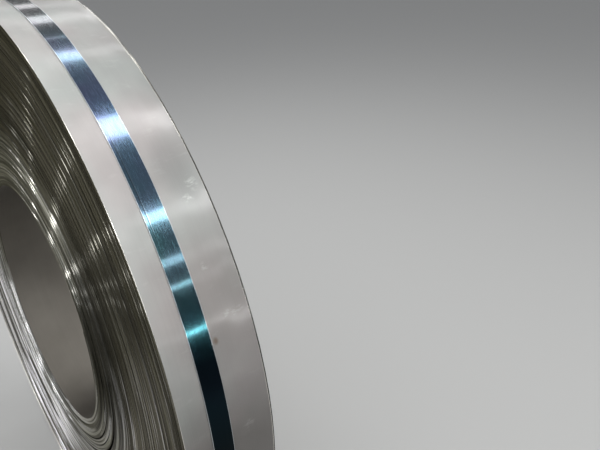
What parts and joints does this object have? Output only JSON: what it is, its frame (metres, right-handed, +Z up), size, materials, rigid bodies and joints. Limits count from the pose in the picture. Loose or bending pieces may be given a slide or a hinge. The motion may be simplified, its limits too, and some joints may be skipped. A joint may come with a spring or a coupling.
{
  "type": "steel coil",
  "caption": "Slit coil of cold-rolled steel strip wound on a round bore and tied with one blued steel strap with a crimped seal.",
  "frame": {"origin": "centre of the bore, at the middle of the coil's width", "axes": "+Y along the coil's axis, +Z up, +X to the side that the picture shows"},
  "size_m": [1.2036, 0.143, 1.2002],
  "materials": {
    "cold_rolled_steel": "satin",
    "blued_steel": "gloss",
    "seal_steel": "satin"
  },
  "bodies": {
    "root": {"coil": "cold_rolled_steel", "strap": "blued_steel", "strap_seal": "seal_steel"}
  },
  "joints": []
}
